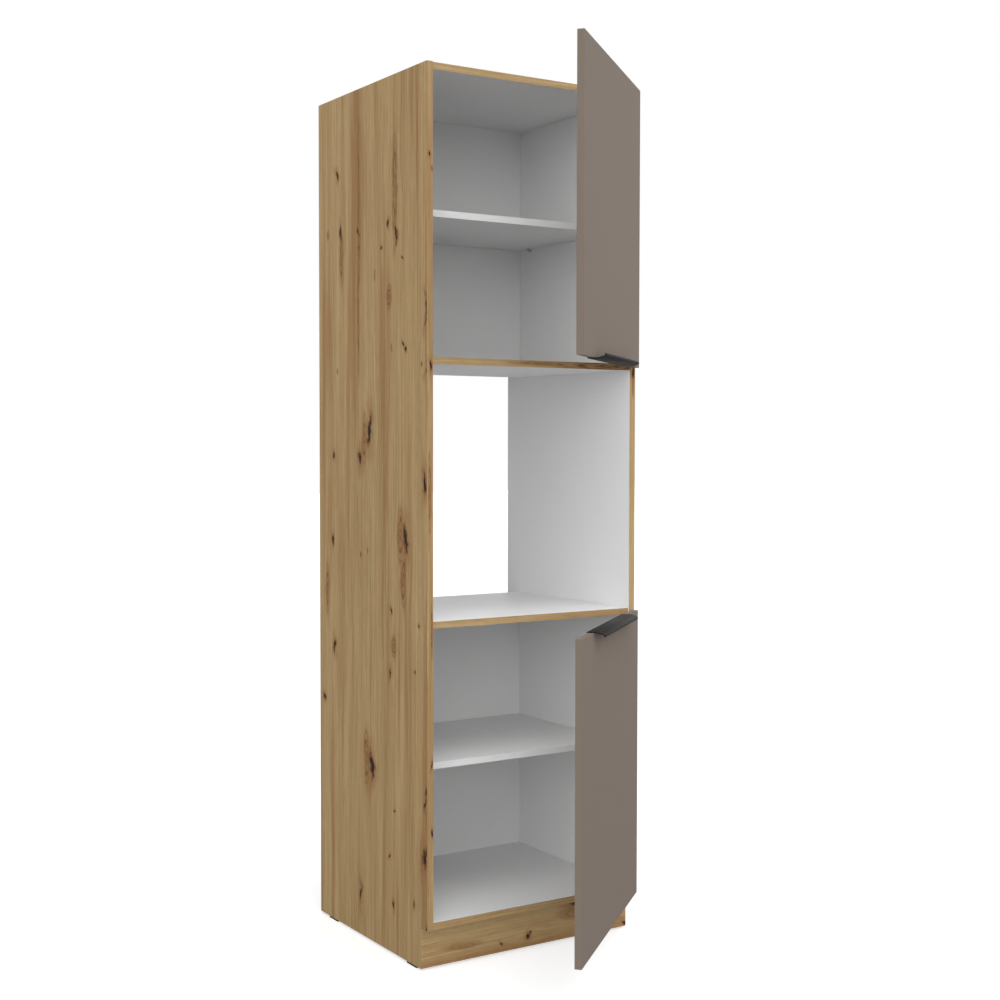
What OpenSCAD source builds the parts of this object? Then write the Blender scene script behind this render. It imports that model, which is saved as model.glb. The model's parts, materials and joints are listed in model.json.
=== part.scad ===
// Tall oven housing unit: two doors, an open oven niche between them, adjustable shelves,
// inset back panels with a service void behind, a recessed plinth and nailed glides.
// Millimetres, +Z up, front towards -Y, origin on the floor under the middle of the carcass.

/* [Carcass] */
// Outside width of the carcass
carcass_w = 600; // [500:1:900]
// Height of the side panels
side_h = 2100; // [1950:1:2300]
// Depth of the side panels
carcass_d = 560; // [500:1:620]
// Thickness of every carcass board
board_t = 16; // [15:0.5:19]
// Thickness of the edge bands
band_t = 1; // [0.5:0.1:2]
// Depth of the open void behind the back panels
void_d = 58; // [45:1:80]
// Thickness of the back panels
back_t = 3; // [2.5:0.1:4]
// Depth of the grooves that hold the back panels
groove_depth = 7; // [4:0.5:9]
// Step back of the top panel and the oven shelf behind the side fronts
front_step = 5; // [0:0.5:8]

/* [Heights] */
// Underside of the bottom panel above the side bottoms
toe_h = 98; // [80:1:130]
// Clear height between the bottom panel and the oven shelf
lower_clear = 687; // [600:1:760]
// Clear height of the oven niche
niche_h = 595; // [560:1:610]
// Underside of the lower shelf above the bottom panel
lower_shelf_up = 346; // [250:1:440]
// Underside of the upper shelf above the oven-top panel
upper_shelf_up = 333; // [250:1:400]
// Step back of the lower shelf behind the side fronts
lower_shelf_back = 59; // [30:1:90]
// Step back of the upper shelf behind the side fronts
upper_shelf_back = 73; // [30:1:90]
// Gap around each adjustable shelf
shelf_gap = 1; // [0.5:0.1:3]

/* [Plinth] */
// Step back of the plinth behind the side fronts
toe_recess = 30; // [20:1:60]
// Height of the glides
glide_h = 5; // [3:0.5:12]
// Length of each glide
glide_len = 48; // [30:1:60]
// Width of each glide
glide_w = 14; // [8:0.5:15]
// Distance from the plinth to the front glides
glide_front_in = 8; // [2:1:40]
// Distance from the sides' rear edges to the rear glides
glide_rear_in = 46; // [10:1:80]
// Leg of the plinth's angle brackets
bracket_leg = 24; // [18:1:40]
// Width of the plinth's angle brackets
bracket_w = 18; // [14:1:30]
// Distance of the plinth's brackets from the sides
bracket_side_in = 110; // [60:1:200]

/* [Doors] */
// Thickness of the doors
door_t = 16; // [16:0.5:19]
// Gap between a closed door and the carcass
door_gap = 3.5; // [3.5:0.1:5]
// Gap between a closed door's edge and the carcass side
door_reveal = 2; // [1:0.1:3]
// Reach of the lower door below the bottom panel
lower_door_drop = 1; // [0:0.5:6]
// Lap of the lower door over the oven shelf's edge
lower_door_lap = 11; // [4:0.5:13]
// Lap of the upper door over the oven-top panel's edge
upper_door_lap = 9.5; // [4:0.5:13]
// Rise of the upper door over the side panels
upper_door_rise = 3; // [0:0.5:5]
// Angle at which the upper door stands open at rest
upper_open = 40.8; // [0:0.1:90]
// Angle at which the lower door stands open at rest
lower_open = 40.8; // [0:0.1:90]
// Diameter of the door bumpers
bumper_d = 8; // [6:0.5:9]
// Distance of a door's outer bumper from its free edge
bumper_in = 40; // [30:1:100]

/* [Handles] */
// Length of each edge handle
handle_len = 376; // [160:1:480]
// Sheet thickness of the handles
handle_t = 1.9; // [1.2:0.1:2.5]
// Reach of a handle's lip in front of the door
handle_reach = 25; // [18:0.5:35]
// Height of the flange behind the door
handle_flange = 18; // [16:0.5:25]
// Radius of the lip's sweep
lip_r = 42; // [34:1:80]
// Length of the turned-down edge
lip_turn = 4.8; // [2:0.1:6]
// Radius of the lip's corners seen from above
lip_corner = 12; // [4:0.5:20]

/* [Hinges] */
// Diameter of the hinge cup's bore
cup_d = 35; // [33:0.5:40]
// Depth of the hinge cup's bore
cup_depth = 12.5; // [11:0.1:13.5]
// Wall of wood between the cup's bore and the door's edge
cup_edge = 3; // [2:0.1:4]
// Distance of the pivot from the door's edge
pivot_in = 7; // [6.5:0.1:8]
// Clearance of the door's corner as it swings past the side's front edge
swing_gap = 0.45; // [0.3:0.05:0.8]
// Distance of each hinge from the door's ends
hinge_end = 100; // [80:1:140]
// Diameter of the pivot pin
pin_d = 2.5; // [2:0.1:3]
// Radial running clearance on the pin
pin_gap = 0.06; // [0.03:0.01:0.1]
// Distance of the hinge plate's screw line from the front edge
screw_line = 37; // [32:1:45]
// Spacing of the hinge plate's two screws
screw_pitch = 32; // [30:1:40]
// Height of the hinge arm above the side's face
arm_rise = 13.5; // [12:0.5:18]

/* [Fasteners] */
// Diameter of the cam locks
cam_d = 15; // [12:0.5:16]
// Distance of a cam's centre from the panel's end
cam_in = 24; // [20:1:34]
// Distance of the front cams behind the side fronts
cam_front_in = 70; // [50:1:120]
// Distance of the rear cams in front of the back panels
cam_back_in = 60; // [40:1:120]
// Distance from each cam to its dowel
dowel_step = 45; // [32:1:80]
// Diameter of the dowels
dowel_d = 8; // [6:0.5:10]
// Length of the dowels
dowel_len = 30; // [25:1:35]
// Clearance of a fastener in its bore
bore_gap = 0.1; // [0.05:0.05:0.3]
// Distance of the outer back nails from the panel's ends
nail_end = 40; // [25:1:80]
// Nails along each nailed edge of a back panel
nails_per_edge = 5; // [3:1:7]
// Distance of the wall brackets' holes below the top
wall_hole_down = 60; // [45:1:120]
// Diameter of the wall brackets' holes
wall_hole_d = 6; // [5:0.5:8]

/* [Hidden] */
$fn = 48;
cut = 1;                                   // how far a cutting tool passes a face

oak = [0.68, 0.55, 0.38];
white = [0.86, 0.86, 0.85];
taupe = [0.50, 0.46, 0.42];
black = [0.13, 0.13, 0.13];
steel = [0.72, 0.73, 0.75];
zinc = [0.60, 0.61, 0.62];
beech = [0.80, 0.66, 0.46];
clear_plastic = [0.80, 0.80, 0.80];

half_w = carcass_w / 2;
inner_w = carcass_w - 2 * board_t;         // clear width between the sides
half_in = inner_w / 2;
front_y = -carcass_d / 2;                  // plane of the side fronts
rear_y = carcass_d / 2;
back_y = rear_y - void_d - back_t;         // front face of the back panels
base_z = glide_h;                          // underside of the side panels
top_z = base_z + side_h;

bottom_z = base_z + toe_h;                 // undersides of the fixed panels
shelf_z = bottom_z + board_t + lower_clear;
niche_top_z = shelf_z + board_t + niche_h;
roof_z = top_z - board_t;
lower_shelf_z = bottom_z + board_t + lower_shelf_up;
upper_shelf_z = niche_top_z + board_t + upper_shelf_up;

plinth_y = front_y + toe_recess;           // front face of the plinth
notch_d = toe_recess + board_t;            // depth of the notch in each side
fit = 0.3;                                 // gap where a piece seats without touching
pan_head_d = 6.5;
pan_head_h = 1.5;
bore_past = 0.5;                           // how far a blind bore passes its screw

// Fixed panels: [underside, step back, side that the cams open to]
fixed_panels = [
    [bottom_z, 0, -1], [shelf_z, front_step, -1],
    [niche_top_z, 0, 1], [roof_z, front_step, 1]
];
cam_ys = [front_y + cam_front_in, back_y - cam_back_in];
dowel_ys = [cam_ys[0] + dowel_step, cam_ys[1] - dowel_step];
cam_past_axis = 4.5;
cam_depth = board_t / 2 + cam_past_axis;
bolt_head_d = 7;
bolt_head_h = 3;
bolt_bore_d = bolt_head_d + 1;
bolt_neck_d = 4;
bolt_shaft_d = 6;
bolt_thread_d = 5;
bolt_in_side = 10.5;
cam_cross_w = 8;
cam_cross_t = 1.2;
cam_cross_d = 2;
dowel_in_side = dowel_len / 3;
dowel_tip = 1;
dowel_tip_d = dowel_d - 1.5;
groove_gap = 0.2;
back_w = inner_w + 2 * (groove_depth - bore_past);
back_below_top = 1;

// Doors, in the closed position
door_w = carcass_w - 2 * door_reveal;
door_back_y = front_y - door_gap;          // the face that looks at the carcass
door_front_y = door_back_y - door_t;
hinge_x = half_w - door_reveal;            // hinge-side edge
free_x = -hinge_x;
lower_door_z0 = bottom_z - lower_door_drop;
lower_door_z1 = shelf_z + lower_door_lap;
upper_door_z0 = niche_top_z + board_t - upper_door_lap;
upper_door_z1 = top_z + upper_door_rise;

// The corner's circle about the pivot stays swing_gap short of the side
corner_rise = door_gap - swing_gap;
pivot_deep = (pivot_in * pivot_in - corner_rise * corner_rise) / (2 * corner_rise);
pivot_x = hinge_x - pivot_in;
pivot_y = door_back_y - pivot_deep;
cup_r = cup_d / 2;
cup_x = hinge_x - cup_edge - cup_r;
cup_wall = 0.9;
flange_t = 1.2;
flange_rim = 1.5;                          // reach of the flange past the cup
cup_screw_x = cup_x - 9.5;                 // screw line behind the cup's centre
cup_screw_pitch = 48;
cup_screw_len = 11;
flange_wing_r = 6;                         // round ends of the flange about its screws
knuckle_r = pin_d / 2 + 1.25;
knuckle_h = 6;
ear_t = 3;
ear_gap = 0.4;
lower_hinge_z = [lower_door_z0 + hinge_end, lower_door_z1 - hinge_end];
upper_hinge_z = [upper_door_z0 + hinge_end, upper_door_z1 - hinge_end];

// Hinge arm and plate, seen from above
neck_t = 2;
neck_bend = 4.5;                           // radius of the gooseneck's bend
neck_run = 8;                              // straight run from the pin
arm_t = 1.5;
arm_h = 14;
arm_top_x = half_in - arm_rise;            // face of the arm that rests on the plate's boss
arm_front_y = front_y + 2;
arm_rear_y = front_y + screw_line + 27;    // past the plate's rear screw
plate_t = 2.6;
boss_h = arm_h - 2 * arm_t - 2 * fit;
boss_y0 = front_y + screw_line - 24;
boss_y1 = front_y + screw_line + 20;
wing_w = 13;
clip_slot_w = 2.5;
clip_slot_d = 4;
clip_slot_y = boss_y1 - 8;
plate_screw_d = 3.5;
plate_screw_len = 13;
plate_head_d = 7;
adjuster_ys = [front_y + screw_line - 16, front_y + screw_line + 10];     // lap and depth
adjuster_d = 5;
adjuster_head_d = 8;
adjuster_head_h = 1.8;

bumper_t = door_gap - fit;
bumper_along = 9 / 14;                     // second bumper's place on the way from the first to the handle

handle_screw_d = 3.5;
handle_screw_len = 13;
handle_head_d = 6;
handle_head_h = 1.4;
handle_screw_down = 12.5;                  // from the door's edge
handle_screw_xs = [-handle_len / 2 + 30, 0, handle_len / 2 - 30];

support_d = 5;
support_in = 8;                            // pin in the side
support_out = 9;
support_plate_t = 1.5;
support_w = 12;
support_tab_t = 2;
support_lap = 0.5;                         // the plate laps the pin
support_inset = 50;                        // from the shelf's front and rear

wall_leg = 25;
wall_bracket_t = 2;
wall_screw_d = 3.5;
wall_screw_len = 13;
wall_hole_in = wall_bracket_t + (wall_leg - wall_bracket_t) / 2;
wall_screw_zs = [-7, 7];
wall_screw_y = rear_y - wall_leg * 0.6;    // clear of the leg on the wall

nail_d = 1.6;
nail_len = 20;
nail_head_d = 4;
nail_head_t = 0.8;
glide_recess = 1.5;                        // sunk seat of the glide's nail head
glide_corner = 3;
bracket_t = 3;
bracket_rib_t = 1.5;
bracket_hole_d = 4;
bracket_xs = [-half_in + bracket_side_in, half_in - bracket_side_in];
bracket_screw_d = 3.5;
bracket_screw_len = 13;

// ---------- helpers ----------

module box(x0, x1, y0, y1, z0, z1) {
    translate([x0, y0, z0]) cube([x1 - x0, y1 - y0, z1 - z0]);
}

module both_sides() {
    children();
    mirror([1, 0, 0]) children();
}

// A child drawn for a closed door, turned about the hinge pins
module on_door(open) {
    translate([pivot_x, pivot_y, 0]) rotate([0, 0, open])
        translate([-pivot_x, -pivot_y, 0]) children();
}

// A screw along +Z with a flat round head below the origin and a cross recess
module screw(d, len, head_d, head_h) {
    difference() {
        union() {
            translate([0, 0, -head_h]) cylinder(d = head_d, h = head_h);
            cylinder(d = d, h = len - d);
            translate([0, 0, len - d]) cylinder(d1 = d, d2 = 0.6, h = d, $fn = 24);
        }
        for (a = [0, 90]) rotate([0, 0, a])
            translate([-head_d * 0.3, -0.4, -head_h - cut]) cube([head_d * 0.6, 0.8, cut + head_h * 0.6]);
    }
}

// The bore that such a screw needs
module screw_bore(d, len) {
    translate([0, 0, -cut]) cylinder(d = d + 2 * bore_gap, h = len + cut + bore_past);
}

module along_x(x, y, z, way = 1) {
    translate([x, y, z]) rotate([0, way * 90, 0]) children();
}

module along_y(x, y, z, way = 1) {
    translate([x, y, z]) rotate([-way * 90, 0, 0]) children();
}

// Points of an arc about c
function arc(c, r, a0, a1, n = 8) =
    [for (i = [0 : n]) let (a = a0 + (a1 - a0) * i / n) c + r * [cos(a), sin(a)]];

// ---------- carcass ----------

module side_profile() {
    difference() {
        translate([front_y + band_t, base_z]) square([carcass_d - band_t, side_h]);
        translate([front_y - cut, base_z - cut]) square([notch_d + cut, toe_h + cut]);
    }
}

module side_board() {
    difference() {
        translate([half_in, 0, 0]) rotate([90, 0, 90]) linear_extrude(height = board_t) side_profile();
        // grooves for the back panels
        for (span = [[niche_top_z, top_z + cut], [bottom_z, shelf_z + board_t]])
            box(half_in - cut, half_in + groove_depth, back_y - groove_gap,
                back_y + back_t + groove_gap, span[0], span[1]);
        // bolts, dowels and shelf supports
        for (p = fixed_panels) {
            for (y = cam_ys) along_x(half_in, y, p[0] + board_t / 2)
                screw_bore(bolt_thread_d, bolt_in_side);
            for (y = dowel_ys) along_x(half_in, y, p[0] + board_t / 2)
                screw_bore(dowel_d, dowel_in_side);
        }
        for (s = support_places) along_x(half_in, s[0], s[1])
            screw_bore(support_d, support_in);
        for (z = wall_screw_zs) along_x(half_in, wall_screw_y, wall_hole_z + z)
            screw_bore(wall_screw_d, wall_screw_len - wall_bracket_t);
        for (y = glide_ys) translate([half_in + board_t / 2, y, base_z])
            screw_bore(nail_d, nail_len - glide_h);
    }
}

// Shelf supports: [y, z of the pin's axis]
support_drop = support_plate_t + support_d / 2 - support_lap;
function supports_for(setback, z) = [
    [front_y + setback + support_inset, z - support_drop],
    [back_y - shelf_gap - support_inset, z - support_drop]
];
upper_supports = supports_for(upper_shelf_back, upper_shelf_z);
lower_supports = supports_for(lower_shelf_back, lower_shelf_z);
support_places = concat(upper_supports, lower_supports);
wall_hole_z = top_z - wall_hole_down;
glide_ys = [front_y + notch_d + glide_front_in + glide_len / 2,
    rear_y - glide_rear_in - glide_len / 2];

module left_side() {
    color(oak) mirror([1, 0, 0]) side_board();
}

module right_side() {
    color(oak) difference() {
        side_board();
        for (z = concat(upper_hinge_z, lower_hinge_z), s = [-1, 1])
            along_x(half_in, front_y + screw_line, z + s * screw_pitch / 2)
                screw_bore(plate_screw_d, plate_screw_len - plate_t);
    }
}

module side_band() {
    box(half_in, half_w, front_y, front_y + band_t, bottom_z, top_z);
}

module left_side_edging() {
    color(oak) mirror([1, 0, 0]) side_band();
}

module right_side_edging() {
    color(oak) side_band();
}

// A fixed panel between the sides, with its cams opening upwards or downwards
module fixed_panel(p) {
    z = p[0];
    cam_face = p[2] > 0 ? z + board_t : z;
    difference() {
        box(-half_in, half_in, front_y + p[1] + band_t, back_y, z, z + board_t);
        both_sides() for (y = cam_ys) {
            translate([half_in - cam_in, y, p[2] > 0 ? cam_face - cam_depth : cam_face - cut])
                cylinder(d = cam_d, h = cam_depth + cut);
            along_x(half_in + cut, y, z + board_t / 2, -1) cylinder(d = bolt_bore_d, h = cam_in);
        }
        both_sides() for (y = dowel_ys) along_x(half_in, y, z + board_t / 2, -1)
            screw_bore(dowel_d, dowel_len - dowel_in_side);
        for (x = nail_xs) along_y(x, back_y, z + board_t / 2, -1)
            screw_bore(nail_d, nail_len - back_t);
    }
}

nail_xs = [for (i = [0 : nails_per_edge - 1])
    -half_in + nail_end + i * (inner_w - 2 * nail_end) / (nails_per_edge - 1)];

module bottom_panel() {
    color(white) difference() {
        fixed_panel(fixed_panels[0]);
        for (x = bracket_xs) translate([x, bracket_screw_y, bottom_z])
            screw_bore(bracket_screw_d, bracket_screw_len - bracket_t);
    }
}

module oven_shelf() {
    color(white) fixed_panel(fixed_panels[1]);
}

module oven_top_panel() {
    color(white) fixed_panel(fixed_panels[2]);
}

module top_panel() {
    color(white) fixed_panel(fixed_panels[3]);
}

module panel_edging() {
    color(oak) for (p = fixed_panels)
        box(-half_in, half_in, front_y + p[1], front_y + p[1] + band_t, p[0], p[0] + board_t);
}

module loose_shelf(setback, z) {
    box(-half_in + shelf_gap, half_in - shelf_gap, front_y + setback + band_t,
        back_y - shelf_gap, z, z + board_t);
}

module upper_shelf() {
    color(white) loose_shelf(upper_shelf_back, upper_shelf_z);
}

module lower_shelf() {
    color(white) loose_shelf(lower_shelf_back, lower_shelf_z);
}

module shelf_edging() {
    color(white) for (s = [[upper_shelf_back, upper_shelf_z], [lower_shelf_back, lower_shelf_z]])
        box(-half_in + shelf_gap, half_in - shelf_gap, front_y + s[0], front_y + s[0] + band_t,
            s[1], s[1] + board_t);
}

module back_board(z0, z1, nail_zs) {
    difference() {
        box(-back_w / 2, back_w / 2, back_y, back_y + back_t, z0, z1);
        for (z = nail_zs, x = nail_xs) along_y(x, back_y + back_t + cut, z, -1)
            cylinder(d = nail_d + 2 * bore_gap, h = back_t + 2 * cut);
    }
}

upper_nail_zs = [niche_top_z + board_t / 2, roof_z + board_t / 2];
lower_nail_zs = [bottom_z + board_t / 2, shelf_z + board_t / 2];

module upper_back() {
    color(white) back_board(niche_top_z + fit, top_z - back_below_top, upper_nail_zs);
}

module lower_back() {
    color(white) back_board(bottom_z, shelf_z + board_t - fit, lower_nail_zs);
}

module back_nails() {
    color(steel) for (z = concat(upper_nail_zs, lower_nail_zs), x = nail_xs)
        along_y(x, back_y + back_t, z, -1) {
            translate([0, 0, -nail_head_t]) cylinder(d = nail_head_d, h = nail_head_t);
            cylinder(d = nail_d, h = nail_len - nail_head_t);
        }
}

// ---------- plinth and glides ----------

bracket_hole_in = bracket_leg * 0.6;
bracket_screw_y = plinth_y + board_t + bracket_hole_in;
bracket_screw_z = bottom_z - bracket_hole_in;

module plinth() {
    color(oak) difference() {
        box(-half_w, half_w, plinth_y, plinth_y + board_t, base_z, bottom_z - fit);
        for (x = bracket_xs) along_y(x, plinth_y + board_t, bracket_screw_z, -1)
            screw_bore(bracket_screw_d, bracket_screw_len - bracket_t);
    }
}

module plinth_brackets() {
    y = plinth_y + board_t;
    color(white) for (x = bracket_xs) difference() {
        union() {
            box(x - bracket_w / 2, x + bracket_w / 2, y, y + bracket_leg, bottom_z - bracket_t, bottom_z);
            box(x - bracket_w / 2, x + bracket_w / 2, y, y + bracket_t, bottom_z - bracket_leg, bottom_z);
            for (rib_x = [x - bracket_w / 2, x + bracket_w / 2 - bracket_rib_t])
                translate([rib_x, y, bottom_z]) rotate([0, 90, 0]) linear_extrude(height = bracket_rib_t)
                    polygon([[0, 0], [0, bracket_leg], [bracket_leg, 0]]);
        }
        translate([x, bracket_screw_y, bottom_z - bracket_leg])
            cylinder(d = bracket_hole_d, h = bracket_leg + cut);
        along_y(x, y - cut, bracket_screw_z) cylinder(d = bracket_hole_d, h = bracket_leg);
    }
}

module plinth_screws() {
    color(steel) for (x = bracket_xs) {
        translate([x, bracket_screw_y, bottom_z - bracket_t])
            screw(bracket_screw_d, bracket_screw_len, pan_head_d, pan_head_h);
        along_y(x, plinth_y + board_t + bracket_t, bracket_screw_z, -1)
            screw(bracket_screw_d, bracket_screw_len, pan_head_d, pan_head_h);
    }
}

module glide_outline() {
    r = glide_corner;
    square([glide_w - 2 * r, glide_len], center = true);
    square([glide_w, glide_len - 2 * r], center = true);
    for (a = [-1, 1], b = [-1, 1])
        translate([a * (glide_w / 2 - r), b * (glide_len / 2 - r)]) circle(r = r);
}

module glides() {
    color(black) both_sides() for (y = glide_ys) difference() {
        translate([half_in + board_t / 2, y, 0]) linear_extrude(height = glide_h) glide_outline();
        translate([half_in + board_t / 2, y, -cut])
            cylinder(d = nail_head_d + 1, h = cut + glide_recess);
        translate([half_in + board_t / 2, y, 0]) cylinder(d = nail_d + 2 * bore_gap, h = glide_h + cut);
    }
}

module glide_nails() {
    color(steel) both_sides() for (y = glide_ys) translate([half_in + board_t / 2, y, glide_recess]) {
        translate([0, 0, -nail_head_t]) cylinder(d = nail_head_d, h = nail_head_t);
        cylinder(d = nail_d, h = nail_len - glide_recess - nail_head_t);
    }
}

// ---------- shelf supports, cams, dowels and wall brackets ----------

module shelf_support(y, z, top) {
    along_x(half_in - support_out, y, z) cylinder(d = support_d, h = support_out + support_in);
    wall = half_in - fit / 2;
    box(half_in - support_out - support_tab_t, wall, y - support_w / 2, y + support_w / 2,
        top - support_plate_t, top);
    box(half_in - support_tab_t, wall, y - support_w / 2, y + support_w / 2,
        z - support_d / 2 - support_tab_t, top);
}

module upper_shelf_supports() {
    color(clear_plastic) both_sides() for (s = upper_supports) shelf_support(s[0], s[1], upper_shelf_z);
}

module lower_shelf_supports() {
    color(clear_plastic) both_sides() for (s = lower_supports) shelf_support(s[0], s[1], lower_shelf_z);
}

module cam_lock(p, y) {
    face = p[2] > 0 ? p[0] + board_t : p[0];
    axis_z = p[0] + board_t / 2;
    d = cam_d - 2 * bore_gap;
    h = cam_depth - bore_gap;
    z0 = p[2] > 0 ? face - h : face;
    difference() {
        translate([half_in - cam_in, y, z0]) cylinder(d = d, h = h);
        // room for the bolt's head and neck, and the driver's cross
        along_x(half_in, y, axis_z, -1) cylinder(d = bolt_head_d + 2 * fit, h = cam_in + bolt_head_h);
        for (a = [0, 90]) translate([half_in - cam_in, y, face]) rotate([0, 0, a])
            translate([-cam_cross_w / 2, -cam_cross_t / 2, p[2] > 0 ? -cam_cross_d : -cut])
                cube([cam_cross_w, cam_cross_t, cam_cross_d + cut]);
    }
}

module cam_locks() {
    color(zinc) both_sides() for (p = fixed_panels, y = cam_ys) cam_lock(p, y);
}

module cam_bolts() {
    color(steel) both_sides() for (p = fixed_panels, y = cam_ys)
        along_x(half_in, y, p[0] + board_t / 2, -1) {
            translate([0, 0, -bolt_in_side]) cylinder(d = bolt_thread_d, h = bolt_in_side);
            cylinder(d = bolt_shaft_d, h = cam_in - cam_d / 2);
            cylinder(d = bolt_neck_d, h = cam_in);
            translate([0, 0, cam_in - 1]) cylinder(d = bolt_head_d, h = bolt_head_h);
        }
}

module dowels() {
    color(beech) both_sides() for (p = fixed_panels, y = dowel_ys)
        along_x(half_in + dowel_in_side, y, p[0] + board_t / 2, -1) {
            cylinder(d1 = dowel_tip_d, d2 = dowel_d, h = dowel_tip);
            translate([0, 0, dowel_tip]) cylinder(d = dowel_d, h = dowel_len - 2 * dowel_tip);
            translate([0, 0, dowel_len - dowel_tip])
                cylinder(d1 = dowel_d, d2 = dowel_tip_d, h = dowel_tip);
        }
}

module wall_brackets() {
    color(steel) both_sides() difference() {
        union() {
            box(half_in - wall_bracket_t, half_in, rear_y - wall_leg, rear_y,
                wall_hole_z - wall_leg / 2, wall_hole_z + wall_leg / 2);
            box(half_in - wall_leg, half_in, rear_y - wall_bracket_t, rear_y,
                wall_hole_z - wall_leg / 2, wall_hole_z + wall_leg / 2);
        }
        along_y(half_in - wall_hole_in, rear_y - wall_bracket_t - cut, wall_hole_z)
            cylinder(d = wall_hole_d, h = wall_bracket_t + 2 * cut);
        for (z = wall_screw_zs) along_x(half_in - wall_bracket_t - cut, wall_screw_y, wall_hole_z + z)
            cylinder(d = wall_screw_d + 2 * bore_gap, h = wall_bracket_t + 2 * cut);
    }
}

module wall_bracket_screws() {
    color(steel) both_sides() for (z = wall_screw_zs)
        along_x(half_in - wall_bracket_t, wall_screw_y, wall_hole_z + z)
            screw(wall_screw_d, wall_screw_len, pan_head_d, pan_head_h);
}

// ---------- hinges, the side that stays on the carcass ----------

module hinge_plate(z) {
    y = front_y + screw_line;
    difference() {
        union() {
            box(half_in - plate_t, half_in, boss_y0, boss_y1, z - arm_h / 2, z + arm_h / 2);
            box(half_in - plate_t, half_in, y - wing_w / 2, y + wing_w / 2,
                z - screw_pitch / 2, z + screw_pitch / 2);
            for (s = [-1, 1]) along_x(half_in - plate_t, y, z + s * screw_pitch / 2)
                cylinder(d = wing_w, h = plate_t);
            box(arm_top_x, half_in, boss_y0 + 1, boss_y1 - 1, z - boss_h / 2, z + boss_h / 2);
        }
        for (s = [-1, 1]) along_x(half_in - plate_t - cut, y, z + s * screw_pitch / 2)
            cylinder(d = plate_screw_d + 2 * bore_gap, h = plate_t + 2 * cut);
        for (ay = adjuster_ys) along_x(arm_top_x - cut, ay, z)
            cylinder(d = adjuster_d + 2 * bore_gap, h = arm_rise + cut - plate_t / 2);
        // the clip's slot behind the rear adjuster
        box(arm_top_x - cut, arm_top_x + clip_slot_d, clip_slot_y, clip_slot_y + clip_slot_w,
            z - boss_h, z + boss_h);
    }
}

module upper_hinge_plates() {
    color(steel) for (z = upper_hinge_z) hinge_plate(z);
}

module lower_hinge_plates() {
    color(steel) for (z = lower_hinge_z) hinge_plate(z);
}

module hinge_plate_screws() {
    color(steel) for (z = concat(upper_hinge_z, lower_hinge_z), s = [-1, 1])
        along_x(half_in - plate_t, front_y + screw_line, z + s * screw_pitch / 2)
            screw(plate_screw_d, plate_screw_len, plate_head_d, pan_head_h);
}

// The arm's strap from above: round the pin, out of the cup in a gooseneck, up to the arm
bend_c = [pivot_x - neck_run, pivot_y + neck_bend];

module strap_outline() {
    outer = arc(bend_c, neck_bend + neck_t / 2, 270, 180, 10);
    inner = arc(bend_c, neck_bend - neck_t / 2, 180, 270, 10);
    polygon(concat(
        [[pivot_x - pin_d / 2, pivot_y - neck_t / 2]],
        outer,
        [[arm_top_x - arm_t, arm_front_y], [arm_top_x - arm_t, arm_front_y + 8],
         [arm_top_x, arm_front_y + 8], [arm_top_x + 0.8, arm_front_y + 2.5]],
        inner,
        [[pivot_x - pin_d / 2, pivot_y + neck_t / 2]]
    ));
}

module hinge_arm(z) {
    difference() {
        union() {
            translate([0, 0, z - knuckle_h / 2]) linear_extrude(height = knuckle_h) strap_outline();
            translate([pivot_x, pivot_y, z - knuckle_h / 2]) cylinder(r = knuckle_r, h = knuckle_h);
            // channel over the plate's boss
            box(arm_top_x - arm_t, arm_top_x, arm_front_y, arm_rear_y, z - arm_h / 2, z + arm_h / 2);
            for (s = [-1, 1]) translate([0, 0, z + s * (arm_h - arm_t) / 2 - arm_t / 2])
                linear_extrude(height = arm_t) arm_cheek();
        }
        translate([pivot_x, pivot_y, z - knuckle_h]) cylinder(d = pin_d + 2 * pin_gap, h = 2 * knuckle_h);
        for (ay = adjuster_ys) along_x(arm_top_x - arm_t - cut, ay, z)
            cylinder(d = adjuster_d + 2 * bore_gap, h = arm_t + 2 * cut);
    }
}

module arm_cheek() {
    low = half_in - plate_t - fit;
    polygon([
        [arm_top_x - arm_t, arm_front_y], [arm_top_x + 2, arm_front_y + 2],
        [low - 1.5, arm_front_y + 12], [low, arm_front_y + 16],
        [low, arm_rear_y - 6], [arm_top_x + 3, arm_rear_y], [arm_top_x - arm_t, arm_rear_y]
    ]);
}

module upper_hinge_arms() {
    color(steel) for (z = upper_hinge_z) hinge_arm(z);
}

module lower_hinge_arms() {
    color(steel) for (z = lower_hinge_z) hinge_arm(z);
}

module hinge_adjusters() {
    color(zinc) for (z = concat(upper_hinge_z, lower_hinge_z), ay = adjuster_ys)
        along_x(arm_top_x - arm_t, ay, z)
            screw(adjuster_d, arm_rise + arm_t - plate_t, adjuster_head_d, adjuster_head_h);
}

// ---------- doors, drawn closed ----------

module door_board(z0, z1, hinge_zs, edge_z, flange_way) {
    difference() {
        box(free_x + band_t, hinge_x - band_t, door_front_y, door_back_y, z0 + band_t, z1 - band_t);
        for (z = hinge_zs) {
            along_y(cup_x, door_back_y + cut, z, -1) cylinder(d = cup_d, h = cup_depth + bore_gap + cut);
            for (s = [-1, 1])
                along_y(cup_screw_x, door_back_y, z + s * cup_screw_pitch / 2, -1)
                    screw_bore(plate_screw_d, cup_screw_len - flange_t);
        }
        for (x = handle_screw_xs) along_y(x, door_back_y, edge_z + flange_way * handle_screw_down, -1)
            screw_bore(handle_screw_d, handle_screw_len - handle_t);
    }
}

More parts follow.
